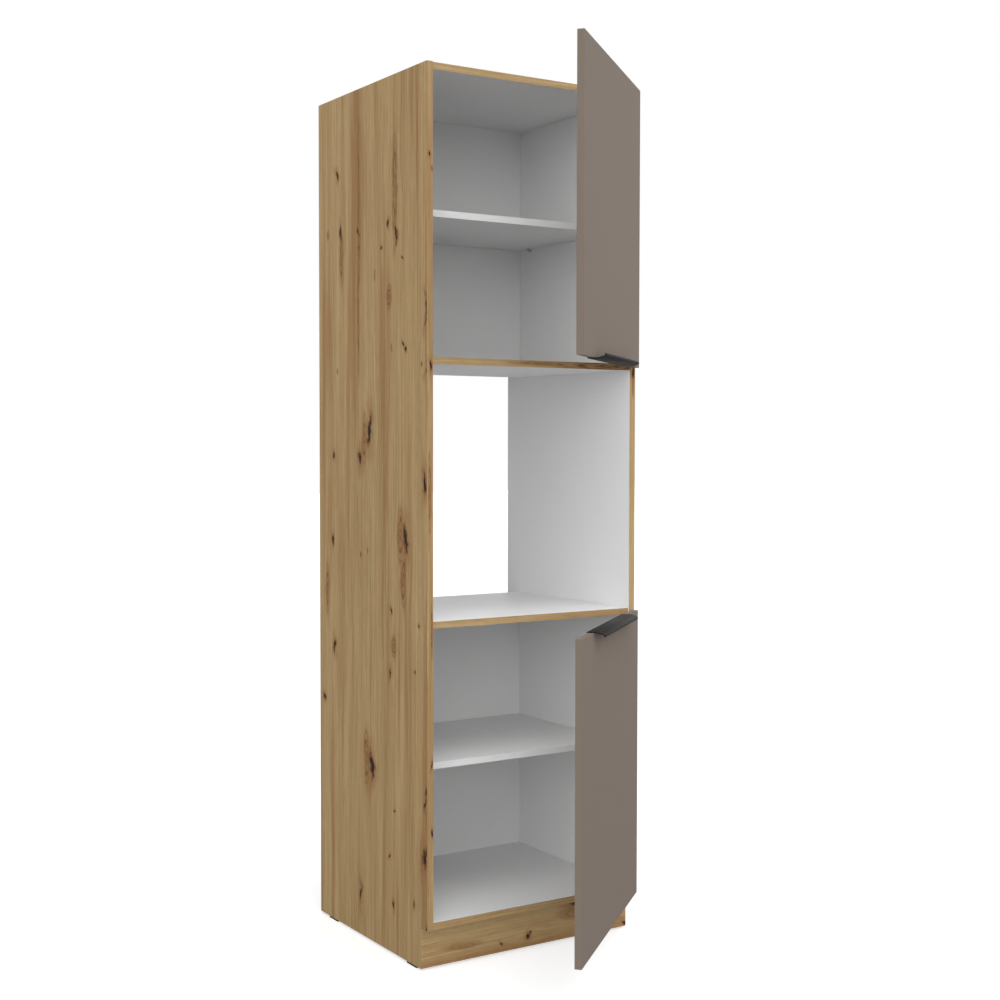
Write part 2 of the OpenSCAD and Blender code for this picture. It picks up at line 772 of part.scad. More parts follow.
module door_bands(z0, z1) {
    box(free_x, hinge_x, door_front_y, door_back_y, z0, z0 + band_t);
    box(free_x, hinge_x, door_front_y, door_back_y, z1 - band_t, z1);
    box(free_x, free_x + band_t, door_front_y, door_back_y, z0 + band_t, z1 - band_t);
    box(hinge_x - band_t, hinge_x, door_front_y, door_back_y, z0 + band_t, z1 - band_t);
}

module upper_door() {
    color(taupe) on_door(upper_open)
        door_board(upper_door_z0, upper_door_z1, upper_hinge_z, upper_door_z0, 1);
}

module lower_door() {
    color(taupe) on_door(lower_open)
        door_board(lower_door_z0, lower_door_z1, lower_hinge_z, lower_door_z1, -1);
}

module upper_door_edging() {
    color(taupe) on_door(upper_open) door_bands(upper_door_z0, upper_door_z1);
}

module lower_door_edging() {
    color(taupe) on_door(lower_open) door_bands(lower_door_z0, lower_door_z1);
}

module hinge_cup(z) {
    r = cup_r - bore_gap;
    ear_z = knuckle_h / 2 + ear_gap;
    translate([0, 0, z]) difference() {
        union() {
            difference() {
                union() {
                    along_y(cup_x, door_back_y, 0, -1) cylinder(r = r, h = cup_depth, $fn = 96);
                    along_y(cup_x, door_back_y, 0) cylinder(r = cup_r + flange_rim, h = flange_t, $fn = 96);
                    box(cup_screw_x - flange_wing_r, cup_screw_x + flange_wing_r, door_back_y,
                        door_back_y + flange_t, -cup_screw_pitch / 2, cup_screw_pitch / 2);
                    for (s = [-1, 1]) along_y(cup_screw_x, door_back_y, s * cup_screw_pitch / 2)
                        cylinder(r = flange_wing_r, h = flange_t);
                }
                along_y(cup_x, door_back_y + flange_t + cut, 0, -1)
                    cylinder(r = r - cup_wall, h = cup_depth + flange_t + cut - cup_wall, $fn = 96);
            }
            // two ears hold the pin, above and below the arm's knuckle
            intersection() {
                for (s = [-1, 1]) translate([0, 0, s * (ear_z + ear_t / 2) - ear_t / 2])
                    linear_extrude(height = ear_t) ear_outline();
                along_y(cup_x, door_back_y, 0, -1)
                    cylinder(r = r - cup_wall / 2, h = cup_depth - cup_wall / 2);
            }
        }
        translate([pivot_x, pivot_y, -ear_z - ear_t - cut])
            cylinder(d = pin_d, h = 2 * (ear_z + ear_t + cut));
        for (s = [-1, 1]) along_y(cup_screw_x, door_back_y - cut, s * cup_screw_pitch / 2)
            cylinder(d = plate_screw_d + 2 * bore_gap, h = flange_t + 2 * cut);
    }
}

module ear_outline() {
    translate([pivot_x, pivot_y]) circle(r = knuckle_r);
    translate([pivot_x - knuckle_r, pivot_y - cup_depth]) square([2 * knuckle_r + 4, cup_depth]);
}

module upper_hinge_cups() {
    color(steel) on_door(upper_open) for (z = upper_hinge_z) hinge_cup(z);
}

module lower_hinge_cups() {
    color(steel) on_door(lower_open) for (z = lower_hinge_z) hinge_cup(z);
}

module hinge_pin(z) {
    len = knuckle_h + 2 * (ear_gap + ear_t);
    translate([pivot_x, pivot_y, z - len / 2]) cylinder(d = pin_d, h = len);
}

module upper_hinge_pins() {
    color(zinc) on_door(upper_open) for (z = upper_hinge_z) hinge_pin(z);
}

module lower_hinge_pins() {
    color(zinc) on_door(lower_open) for (z = lower_hinge_z) hinge_pin(z);
}

module cup_screws(zs) {
    for (z = zs, s = [-1, 1])
        along_y(cup_screw_x, door_back_y + flange_t, z + s * cup_screw_pitch / 2, -1)
            screw(plate_screw_d, cup_screw_len, pan_head_d, pan_head_h);
}

module upper_cup_screws() {
    color(steel) on_door(upper_open) cup_screws(upper_hinge_z);
}

module lower_cup_screws() {
    color(steel) on_door(lower_open) cup_screws(lower_hinge_z);
}

// ---------- handles ----------

// Section of the handle: x forwards from the door's back face, y away from the door's edge
lip_start = door_t + 1.5;
lip_c = [lip_start, handle_t - lip_r];
lip_a = asin((door_t + handle_reach - lip_start) / lip_r);   // sweep of the lip
lip_tip = lip_c + lip_r * [sin(lip_a), cos(lip_a)];
turn_in = lip_turn * [-sin(lip_a), -cos(lip_a)];
turn_back = handle_t * 1.2 * [-cos(lip_a), sin(lip_a)];

module handle_section() {
    top_side = [for (p = arc(lip_c, lip_r, 90, 90 - lip_a, 12)) p];
    under = [for (p = arc(lip_c, lip_r - handle_t, 90 - lip_a * 0.9, 90, 10)) p];
    polygon(concat(
        [[0, 0], [0, -handle_flange], [-handle_t, -handle_flange], [-handle_t, handle_t]],
        top_side,
        [lip_tip + turn_in, lip_tip + turn_in + turn_back],
        under
    ));
}

// Outline of the handle from above, y behind the door's back face
module handle_plan() {
    corner_y = lip_corner - door_t - handle_reach;
    corner_x = handle_len / 2 - lip_corner;
    polygon(concat(
        [[handle_len / 2, handle_t], [-handle_len / 2, handle_t]],
        arc([-corner_x, corner_y], lip_corner, 180, 270, 10),
        arc([corner_x, corner_y], lip_corner, 270, 360, 10)
    ));
}

module handle(edge_z, way) {
    difference() {
        intersection() {
            translate([0, door_back_y, edge_z]) mirror([0, 0, way > 0 ? 0 : 1])
                rotate([90, 0, -90]) translate([0, 0, -handle_len / 2])
                    linear_extrude(height = handle_len) handle_section();
            translate([0, door_back_y, edge_z - 2 * handle_flange])
                linear_extrude(height = 4 * handle_flange) handle_plan();
        }
        for (x = handle_screw_xs) along_y(x, door_back_y - cut, edge_z - way * handle_screw_down)
            cylinder(d = handle_screw_d + 2 * bore_gap, h = handle_t + 2 * cut);
    }
}

module upper_handle() {
    color(black) on_door(upper_open) handle(upper_door_z0, -1);
}

module lower_handle() {
    color(black) on_door(lower_open) handle(lower_door_z1, 1);
}

module handle_screws(z) {
    for (x = handle_screw_xs) along_y(x, door_back_y + handle_t, z, -1)
        screw(handle_screw_d, handle_screw_len, handle_head_d, handle_head_h);
}

module upper_handle_screws() {
    color(black) on_door(upper_open) handle_screws(upper_door_z0 + handle_screw_down);
}

module lower_handle_screws() {
    color(black) on_door(lower_open) handle_screws(lower_door_z1 - handle_screw_down);
}

// Bumpers that meet a panel's front edge
module bumpers(z) {
    outer_x = free_x + bumper_in;
    inner_x = outer_x + bumper_along * (-handle_len / 2 - outer_x);
    for (x = [outer_x, inner_x]) along_y(x, door_back_y, z)
        rotate_extrude() polygon(concat([[0, 0], [bumper_d / 2, 0]],
            arc([bumper_d / 2 - 1, bumper_t - 1], 1, 0, 90, 6), [[0, bumper_t]]));
}

module upper_door_bumpers() {
    color(clear_plastic) on_door(upper_open) bumpers(upper_door_z0 + upper_door_lap / 2);
}

module lower_door_bumpers() {
    color(clear_plastic) on_door(lower_open) bumpers(bottom_z + board_t / 2);
}

left_side();
right_side();
left_side_edging();
right_side_edging();
top_panel();
oven_top_panel();
oven_shelf();
bottom_panel();
panel_edging();
upper_shelf();
lower_shelf();
shelf_edging();
upper_back();
lower_back();
back_nails();
plinth();
plinth_brackets();
plinth_screws();
glides();
glide_nails();
upper_shelf_supports();
lower_shelf_supports();
cam_locks();
cam_bolts();
dowels();
wall_brackets();
wall_bracket_screws();
upper_hinge_plates();
lower_hinge_plates();
hinge_plate_screws();
upper_hinge_arms();
lower_hinge_arms();
hinge_adjusters();
upper_door();
upper_door_edging();
upper_hinge_cups();
upper_hinge_pins();
upper_cup_screws();
upper_handle();
upper_handle_screws();
upper_door_bumpers();
lower_door();
lower_door_edging();
lower_hinge_cups();
lower_hinge_pins();
lower_cup_screws();
lower_handle();
lower_handle_screws();
lower_door_bumpers();
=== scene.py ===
import bmesh
import bpy
import json
import math
from mathutils import Matrix, Vector


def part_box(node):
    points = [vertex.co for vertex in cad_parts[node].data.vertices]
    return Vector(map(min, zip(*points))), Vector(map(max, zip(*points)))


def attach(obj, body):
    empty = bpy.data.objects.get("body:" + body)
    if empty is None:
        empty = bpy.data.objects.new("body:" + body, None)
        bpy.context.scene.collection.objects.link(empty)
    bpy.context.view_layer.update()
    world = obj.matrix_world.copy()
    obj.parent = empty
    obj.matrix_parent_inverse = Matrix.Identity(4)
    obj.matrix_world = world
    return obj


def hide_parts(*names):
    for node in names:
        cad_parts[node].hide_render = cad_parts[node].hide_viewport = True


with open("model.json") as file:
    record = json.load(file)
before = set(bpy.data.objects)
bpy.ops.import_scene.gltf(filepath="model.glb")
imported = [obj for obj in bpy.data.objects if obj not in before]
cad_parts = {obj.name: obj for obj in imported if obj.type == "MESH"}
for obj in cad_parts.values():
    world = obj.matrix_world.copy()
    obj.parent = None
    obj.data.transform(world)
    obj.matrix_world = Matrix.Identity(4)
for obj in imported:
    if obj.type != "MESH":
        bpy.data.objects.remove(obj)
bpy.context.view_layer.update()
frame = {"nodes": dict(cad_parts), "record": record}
print("frame loaded", len(frame["nodes"]), "nodes")

joints = {joint["name"]: joint for joint in frame["record"]["behaviour"]["joints"]}
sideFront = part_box("right_side_edging")[0].y  # the plane of the side panels' front edges
mm = 0.001


def tint(red, green, blue):
    # 0-255 screen values to the linear values that a shader wants
    def linear(value):
        value /= 255
        return value / 12.92 if value <= 0.04045 else ((value + 0.055) / 1.055) ** 2.4
    return (linear(red), linear(green), linear(blue), 1.0)


def grey(value):
    return (value, value, value, 1.0)


def addNode(tree, kind, inputs=None, **settings):
    made = tree.nodes.new("ShaderNode" + kind)
    for key, value in settings.items():
        setattr(made, key, value)
    for key, value in (inputs or {}).items():
        if isinstance(value, bpy.types.NodeSocket):
            tree.links.new(value, made.inputs[key])
        else:
            made.inputs[key].default_value = value
    return made


def calc(tree, operation, first, second=0.0, third=0.0):
    return addNode(tree, "Math", {0: first, 1: second, 2: third}, operation=operation).outputs[0]


def span(tree, value, low, high, toLow=0.0, toHigh=1.0, smooth=True):
    inputs = {"Value": value, "From Min": low, "From Max": high, "To Min": toLow, "To Max": toHigh}
    kind = "SMOOTHSTEP" if smooth else "LINEAR"
    return addNode(tree, "MapRange", inputs, interpolation_type=kind).outputs[0]


def mix(tree, factor, first, second, blend="MIX"):
    made = addNode(tree, "Mix", {0: factor, 6: first, 7: second}, data_type="RGBA", blend_type=blend)
    return made.outputs[2]


def noise(tree, vector, scale, detail=2.0, roughness=0.5, distortion=0.0):
    inputs = {"Vector": vector, "Scale": scale, "Detail": detail, "Roughness": roughness,
              "Distortion": distortion}
    return addNode(tree, "TexNoise", inputs).outputs["Fac"]


def stretch(tree, vector, scale, location=(0, 0, 0)):
    return addNode(tree, "Mapping", {"Vector": vector, "Scale": scale, "Location": location}).outputs[0]


def newMaterial(name, roughness=0.5, **inputs):
    material = bpy.data.materials.new(name)
    material.use_nodes = True
    tree = material.node_tree
    shader = tree.nodes["Principled BSDF"]
    shader.inputs["Roughness"].default_value = roughness
    for key, value in inputs.items():
        shader.inputs[key.replace("_", " ")].default_value = value
    place = addNode(tree, "TexCoord").outputs["Object"]
    return material, tree, shader, place


def relief(tree, shader, height, distance):
    bump = addNode(tree, "Bump", {"Height": height, "Distance": distance, "Strength": 1.0})
    tree.links.new(bump.outputs[0], shader.inputs["Normal"])


oak = {
    "light": tint(197, 170, 126),
    "middle": tint(175, 147, 104),
    "dark": tint(151, 119, 78),
    "warm": tint(148, 106, 66),
    "halo": tint(100, 64, 38),
    "crack": tint(44, 29, 21),
    "roughness": 0.6,
    "specular": 0.15,
    "relief": 0.05 * mm,
    "sawnScale": 400.0,       # pattern on a board's sawn ends
    "wander": 30 * mm,        # of the whole grain, sideways
    "parting": 0.62,          # how far the grain parts, as a share of the swelling's half width
    "stripShare": 0.34,       # of the patterns in the wood's tone
    "shares": {"clouds": 0.26, "streaks": 0.75, "mottle": 0.3},
    "ringShare": -0.08,
    "ringLength": 0.055,      # the rings' scale along the grain
    "darkest": 0.52,          # where the ramp of tones begins and ends
    "lightest": 1.03,
    "middleAt": 0.45,
    "pores": 0.22,            # cover over the wood, and where each pattern begins and is full
    "poreRange": (0.60, 0.74),
    "poreDepth": -0.6,
    "warmth": 0.7,
    "warmRange": (0.46, 0.68),
    "lines": 0.55,
    "lineRange": (0.52, 0.72),
    # the figure settings below also draw the painted shade by the door on the panels' band
    "figure": 0.7,
    "figureRange": (1.3, 0.7),
    "figureAndShadeWarmth": 0.6,
    "figureAndShadeWarmRange": (1.7, 0.5),
    "figureTear": 0.3,        # figures are torn less than cracks
    "figureRings": 15.0,
    "figureRingRange": (-0.2, 0.7),
    "figureFlecks": 10.0,
    "bend": 58 * mm,          # a crack's wander sideways
    "tear": 20 * mm,          # raggedness of its rim
    "rimFlecks": 2.4,
    # a knot from outside to inside: tone, where it begins and where it is full, cover
    "knotRims": [("warm", 3.0, 0.9, 0.6), ("halo", 1.25, 0.7, 0.9), ("crack", 0.74, 0.5, 1.0)],
}
# Noise patterns: scale across and along the grain, share of the seed, detail, roughness
oakPatterns = {
    "wander": (5.0, 0.9, 1.0, 2.0, 0.5),
    "bend": (6.0, 15.0, 11.0, 2.0, 0.5),
    "tear": (150.0, 50.0, 13.0, 3.0, 0.7),
    "strips": (1 / (55 * mm), 0.35, 3.0, 2.0, 0.55),    # glued strips of a different tone
    "clouds": (14.0, 1.6, 5.0, 3.0, 0.5),
    "streaks": (1 / (3.5 * mm), 3.6, 7.0, 4.0, 0.62),
    "mottle": (150.0, 26.0, 31.0, 3.0, 0.7),
    "pores": (1 / (1.1 * mm), 16.0, 9.0, 2.0, 0.6),
    "warmth": (26.0, 0.9, 17.0, 4.0, 0.65),
    "lines": (1 / (3.2 * mm), 1.3, 21.0, 3.0, 0.75),    # late wood
    "flecks": (240.0, 38.0, 15.0, 3.0, 0.7),
}
oakRings = {"Scale": 24.0, "Distortion": 7.0, "Detail": 3.0, "Detail Scale": 2.2, "Detail Roughness": 0.6}


def oakNoise(tree, vector, name):
    across, along, seed, detail, roughness = oakPatterns[name]
    return noise(tree, stretch(tree, vector, (across, along, seed)), 1.0, detail, roughness)


def rimDistance(tree, vector, spot):
    # from a spot's middle in half widths, and 1 at its rim; spots are given in mm
    across, along, wide, high = spot
    local = stretch(tree, vector, (1 / (wide * mm), 1 / (high * mm), 0), (-across / wide, -along / high, 0))
    return local, addNode(tree, "VectorMath", {0: local}, operation="LENGTH").outputs["Value"]


def knotDistance(tree, vector, knots):
    # 1 at the rim of the nearest knot, growing outwards
    nearest = None
    for knot in knots:
        reach = rimDistance(tree, vector, knot)[1]
        nearest = reach if nearest is None else calc(tree, "MINIMUM", nearest, reach)
    return nearest


def swell(tree, vector, across, swells):
    # the grain parts round the larger knots
    for spot in swells:
        local, reach = rimDistance(tree, vector, spot)
        pull = span(tree, reach, 0.0, 1.0, -oak["parting"] * spot[2] * mm, 0.0)
        offset = addNode(tree, "SeparateXYZ", {0: local}).outputs[0]
        across = calc(tree, "MULTIPLY_ADD", offset, pull, across)
    return across


def centred(tree, value):
    return calc(tree, "SUBTRACT", value, 0.5)


def torn(tree, flat, amount):
    # cracks wander sideways and have ragged rims
    shift = calc(tree, "MULTIPLY", centred(tree, oakNoise(tree, flat, "bend")), oak["bend"] * amount)
    ragged = centred(tree, oakNoise(tree, flat, "tear"))
    shift = calc(tree, "MULTIPLY_ADD", ragged, oak["tear"] * amount, shift)
    sideways = addNode(tree, "CombineXYZ", {0: shift}).outputs[0]
    return addNode(tree, "VectorMath", {0: flat, 1: sideways}, operation="ADD").outputs[0]


def oakWood(tree, grain, warmth):
    # colour of the plain wood, and its relief
    tone = calc(tree, "MULTIPLY", oakNoise(tree, grain, "strips"), oak["stripShare"])
    patterns = {name: oakNoise(tree, grain, name) for name in oak["shares"]}
    for name, share in oak["shares"].items():
        tone = calc(tree, "MULTIPLY_ADD", patterns[name], share, tone)
    lengthwise = stretch(tree, grain, (1.0, oak["ringLength"], 1.0))
    rings = addNode(tree, "TexWave", {"Vector": lengthwise, **oakRings}, wave_type="BANDS",
                    bands_direction="X", wave_profile="SAW").outputs["Fac"]
    tone = calc(tree, "MULTIPLY_ADD", rings, oak["ringShare"], tone)
    tone = span(tree, tone, oak["darkest"], oak["lightest"], smooth=False)
    ramp = addNode(tree, "ValToRGB", {0: tone})
    stops = ramp.color_ramp.elements
    stops[0].color = oak["dark"]
    stops[1].color = oak["light"]
    stops.new(oak["middleAt"]).color = oak["middle"]
    pores = span(tree, oakNoise(tree, grain, "pores"), *oak["poreRange"])
    colour = mix(tree, calc(tree, "MULTIPLY", pores, oak["pores"]), ramp.outputs[0], oak["dark"])
    warm = span(tree, oakNoise(tree, grain, "warmth"), *oak["warmRange"], 0.0, warmth)
    colour = mix(tree, warm, colour, oak["warm"])
    lines = span(tree, oakNoise(tree, grain, "lines"), *oak["lineRange"], 0.0, oak["lines"])
    colour = mix(tree, lines, colour, oak["dark"])
    return colour, calc(tree, "MULTIPLY_ADD", pores, oak["poreDepth"], patterns["streaks"])


def oakFigureAndPaintedShade(tree, flat, flecks, face, colour):
    # fine brown lines round a grown-over knot; the same warm fill and lines also make the painted shade by
    # the door on the panels' band
    reach = knotDistance(tree, torn(tree, flat, oak["figureTear"] * face.get("torn", 1.0)), face["patches"])
    ragged = calc(tree, "MULTIPLY", flecks, oak["figureFlecks"])
    whorl = calc(tree, "SINE", calc(tree, "MULTIPLY_ADD", reach, oak["figureRings"], ragged))
    lines = span(tree, whorl, *oak["figureRingRange"])
    cover = span(tree, reach, *oak["figureRange"], 0.0, face.get("figure", oak["figure"]))
    warm = span(tree, reach, *oak["figureAndShadeWarmRange"], 0.0, oak["figureAndShadeWarmth"])
    colour = mix(tree, warm, colour, oak["warm"])
    return mix(tree, calc(tree, "MULTIPLY", lines, cover), colour, oak["halo"])


def oakKnots(tree, flat, flecks, face, colour):
    reach = knotDistance(tree, torn(tree, flat, face.get("torn", 1.0)), face["knots"])
    rim = calc(tree, "MULTIPLY_ADD", centred(tree, flecks), oak["rimFlecks"], reach)
    for name, begins, full, cover in oak["knotRims"]:
        colour = mix(tree, span(tree, rim, begins, full, 0.0, cover), colour, oak[name])
    return colour


def oakDecor(tree, across, along, face):
    # colour and relief of the printed oak, across and along the grain in metres
    seed = face["seed"]
    flat = addNode(tree, "CombineXYZ", {0: across, 1: along, 2: seed}).outputs[0]
    across = calc(tree, "MULTIPLY_ADD", centred(tree, oakNoise(tree, flat, "wander")), oak["wander"], across)
    across = swell(tree, flat, across, face["swells"])
    grain = addNode(tree, "CombineXYZ", {0: across, 1: along, 2: seed}).outputs[0]
    colour, height = oakWood(tree, grain, face.get("warmth", oak["warmth"]))
    flecks = oakNoise(tree, grain, "flecks")
    if face["patches"]:
        colour = oakFigureAndPaintedShade(tree, flat, flecks, face, colour)
    if face["knots"]:
        colour = oakKnots(tree, flat, flecks, face, colour)
    return colour, height


white = {
    "light": tint(238, 238, 238),
    "shade": tint(235, 235, 235),
    "roughness": 0.45,
    "specular": 0.2,
    "cloudScale": 9.0,
    "relief": 0.02 * mm,
}
chips = {
    "light": tint(206, 184, 148),
    "dark": tint(142, 112, 76),
    "scale": 420.0,
    "lying": (1.0, 1.0, 0.55),
    "blotScale": 160.0,
    "shares": (0.6, 0.5),     # of the single chips and of the blots in the tone
}
fibres = {"light": tint(158, 122, 86), "dark": tint(118, 86, 56), "scale": 90.0}
cutSkin = 0.2 * mm            # how far a face's finish reaches in from the face
whiteCoat = 0.3 * mm          # of the hardboard, on its front


def chipboard(tree, place):
    # pressed chips on a raw edge
    cells = addNode(tree, "TexVoronoi", {"Vector": stretch(tree, place, chips["lying"]),
                                         "Scale": chips["scale"], "Randomness": 1.0}).outputs["Color"]
    chip = addNode(tree, "SeparateColor", {0: cells}).outputs[0]
    blot = noise(tree, place, chips["blotScale"], 3.0)
    chipShare, blotShare = chips["shares"]
    shade = calc(tree, "MULTIPLY_ADD", blot, blotShare, calc(tree, "MULTIPLY", chip, chipShare))
    return mix(tree, shade, chips["dark"], chips["light"])


def smoothWhite(tree, place):
    # melamine with a hint of uneven print
    cloud = noise(tree, place, white["cloudScale"], 2.0)
    return mix(tree, cloud, white["shade"], white["light"])


# Knots, figured patches and swellings of the grain on each oak face, in mm from the origin:
# place across and along the grain, half width, half height. On the sides y is across and z along,
# on their bands x and z, on the plinth and the panels' bands z and x. The long patch by the door on the
# panels' band is no figure but painted shade.
leftFace = {
    "knots": [
        (179, 1909, 6, 11), (152, 1762, 5, 20), (55, 1757, 5, 10), (62, 1716, 3, 7),
        (-100, 1759, 4, 9), (-132, 1726, 6, 24), (-59, 1705, 3, 4), (-168, 1670, 3, 4),
        (-274, 1545, 5, 34), (-171, 1468, 4, 6), (-178, 1456, 4, 6), (-275, 1415, 5, 17),
        (-247, 1417, 3, 4), (2, 1268, 10, 38), (49, 1196, 9, 20), (197, 1205, 5, 9),
        (-268, 1142, 7, 28), (-180, 1010, 11, 32), (205, 987, 5, 13),
        (54, 958, 3, 6), (-99, 834, 4, 7), (192, 717, 6, 18), (-100, 681, 6, 12),
        (-219, 700, 3, 4), (254, 577, 6, 8), (-3, 440, 12, 34), (-277, 410, 5, 28),
        (-270, 270, 11, 26), (55, 112, 5, 24), (-108, 121, 4, 10), (-221, 150, 3, 8),
        (-100, 237, 4, 5), (-246, 810, 3, 4), (-125, 352, 3, 4), (-270, 106, 4, 9),
    ],
    "patches": [
        (152, 1700, 10, 66), (-27, 1642, 4, 14), (-100, 1584, 12, 28), (227, 1766, 6, 12),
        (237, 860, 10, 62), (-121, 749, 12, 26), (-112, 1462, 4, 10), (174, 1417, 4, 7),
        (57, 1830, 4, 190), (62, 1560, 5, 150), (-128, 1850, 12, 110), (15, 970, 4, 8),
        (-152, 1015, 15, 62), (-168, 912, 13, 64), (30, 1245, 12, 60), (22, 455, 14, 66),
    ],
    "swells": [(-1, 1262, 60, 130), (-174, 965, 70, 190), (-3, 436, 64, 140), (49, 1180, 45, 110),
               (-270, 268, 60, 120), (-132, 1790, 60, 170)],
    "seed": 0.37,
}
rightFace = {
    "knots": [(120, 1840, 8, 22), (-90, 1610, 6, 14), (40, 1325, 11, 34), (-190, 1100, 6, 16),
              (150, 905, 10, 30), (-40, 700, 5, 12), (-210, 520, 9, 26), (80, 330, 7, 18),
              (-120, 180, 5, 12), (215, 1490, 4, 9), (10, 2010, 4, 8), (190, 210, 4, 7)],
    "patches": [(-150, 1900, 10, 60), (200, 1200, 9, 50), (-10, 500, 10, 70)],
    "swells": [(40, 1320, 60, 130), (150, 900, 60, 140), (-210, 520, 50, 120)],
    "seed": 2.81,
}
plinthFace = {
    "knots": [(26, 1, 8, 6), (28, -77, 3, 4), (90, 146, 6, 24), (14, 296, 5, 8), (33, 8, 3, 3)],
    "patches": [(66, 142, 16, 44), (40, -185, 7, 50)],
    "swells": [(26, 1, 30, 80), (66, 142, 40, 90)],
    "seed": 5.2,
    "figure": 0.3,
}
leftBand = {
    "knots": [(-290, 1895, 2, 6), (-287, 1862, 2, 5), (-291, 1413, 3, 14), (-289, 489, 2, 10),
              (-290, 330, 2, 9)],
    "patches": [(-293, 1120, 4, 90), (-288, 800, 3, 60)],
    "swells": [],
    "seed": 7.7,
    "torn": 0.3,
    "warmth": 0.35,
}
rightBand = {
    "knots": [(293, 1411, 3, 16)],
    "patches": [(293, 1375, 3, 24)],
    "swells": [],
    "seed": 8.4,
    "torn": 0.3,
    "warmth": 0.35,
}
panelBand = {
    "knots": [],
    # the first patch, 85 to 345 mm along the band 1425 mm high, is painted shade by the door: a warm brown
    # fill with fine lines
    "patches": [(1425, 215, 12, 130), (1426, 20, 4, 90)],
    "swells": [],
    "seed": 9.9,
    "torn": 0.3,
    "warmth": 0.35,
}


def oakMaterial(name, face, turn="z", lined=False):
    # turn names the axis that the grain follows; a lined board is white inside, with raw edges
    material, tree, shader, place = newMaterial(name, oak["roughness"], Specular_IOR_Level=oak["specular"])
    x, y, z = addNode(tree, "SeparateXYZ", {0: place}).outputs
    across, along = {"z": (y, z), "bandZ": (x, z), "x": (z, x)}[turn]
    colour, height = oakDecor(tree, across, along, face)
    outwards = calc(tree, "ABSOLUTE", x)
    if lined:
        low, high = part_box("right_side")
        isOuter = calc(tree, "GREATER_THAN", outwards, high.x - cutSkin)
        isInner = calc(tree, "LESS_THAN", outwards, low.x + cutSkin)
        core = mix(tree, isOuter, chipboard(tree, place), colour)
        colour = mix(tree, isInner, core, smoothWhite(tree, place))
        height = calc(tree, "MULTIPLY", height, isOuter)
    if turn == "x":
        # the ends of a board whose grain runs sideways
        isFace = calc(tree, "LESS_THAN", outwards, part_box("plinth")[1].x - cutSkin)
        sawn = mix(tree, noise(tree, place, oak["sawnScale"], 3.0), oak["dark"], oak["light"])
        colour = mix(tree, isFace, sawn, colour)
        height = calc(tree, "MULTIPLY", height, isFace)
    tree.links.new(colour, shader.inputs["Base Color"])
    relief(tree, shader, height, oak["relief"])
    return material


def whiteMaterial(name, rawFrom=None, raw=chipboard, grainScale=900.0, grainDetail=2.0):
    # rawFrom is the plane behind which the board shows its chips or fibres
    material, tree, shader, place = newMaterial(name, white["roughness"],
                                                Specular_IOR_Level=white["specular"])
    colour = smoothWhite(tree, place)
    if rawFrom is not None:
        y = addNode(tree, "SeparateXYZ", {0: place}).outputs[1]
        colour = mix(tree, calc(tree, "GREATER_THAN", y, rawFrom), colour, raw(tree, place))
    tree.links.new(colour, shader.inputs["Base Color"])
    relief(tree, shader, noise(tree, place, grainScale, grainDetail), white["relief"])
    return material


def rawHardboard(tree, place):
    # fibres of the hardboard's bare rear face
    pattern = noise(tree, place, fibres["scale"], 5.0, 0.7)
    return mix(tree, pattern, fibres["dark"], fibres["light"])


def plainMaterial(name, light, dark, scale, roughness, bump=0.02, along=(1, 1, 1), **inputs):
    # two near tones in a fine pattern, stretched along the piece
    material, tree, shader, place = newMaterial(name, roughness, **inputs)
    pattern = noise(tree, stretch(tree, place, along), scale, 4.0, 0.6)
    tree.links.new(mix(tree, pattern, dark, light), shader.inputs["Base Color"])
    relief(tree, shader, pattern, bump * mm)
    return material


# By the material slot of a piece; the oak boards follow by their own names
finishes = {
    "white_board": whiteMaterial("whiteBoard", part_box("bottom_panel")[1].y - cutSkin),
    "white_band": whiteMaterial("whiteBand"),
    "taupe_board": plainMaterial("taupeLacquer", tint(132, 119, 108), tint(129, 116, 105),
                                 scale=700, roughness=0.6, Specular_IOR_Level=0.15),
    "taupe_band": plainMaterial("taupeBand", tint(126, 114, 103), tint(123, 111, 100),
                                scale=700, roughness=0.6, Specular_IOR_Level=0.15),
    "black_screw": plainMaterial("blackScrew", tint(46, 45, 44), tint(30, 30, 30),
                                 scale=900, roughness=0.4, Metallic=1.0),
    "clear_plastic": plainMaterial("clearPlastic", tint(232, 232, 230), tint(222, 222, 220),
                                   scale=200, roughness=0.25, Transmission_Weight=0.25, IOR=1.49),
    "black_plastic": plainMaterial("blackPlastic", tint(40, 40, 40), tint(28, 28, 28),
                                   scale=1200, roughness=0.55, bump=0.05),
    "white_plastic": plainMaterial("whitePlastic", tint(226, 226, 223), tint(218, 218, 215),
                                   scale=500, roughness=0.4),
    "beech": plainMaterial("beech", tint(212, 180, 134), tint(180, 143, 98),
                           scale=400, roughness=0.6, bump=0.05, along=(0.06, 1, 1)),
    "zinc": plainMaterial("zincCasting", tint(188, 190, 192), tint(148, 150, 153),
                          scale=600, roughness=0.45, bump=0.03, Metallic=1.0),
    "zinc_plated_steel": plainMaterial("zincPlate", tint(205, 207, 208), tint(176, 178, 181),
                                       scale=300, roughness=0.34, Metallic=1.0),
    "nickelled_steel": plainMaterial("nickelPlate", tint(186, 184, 178), tint(166, 164, 158),
                                     scale=260, roughness=0.36, bump=0.01, Metallic=1.0),
}
print("plain finishes made", len(finishes))

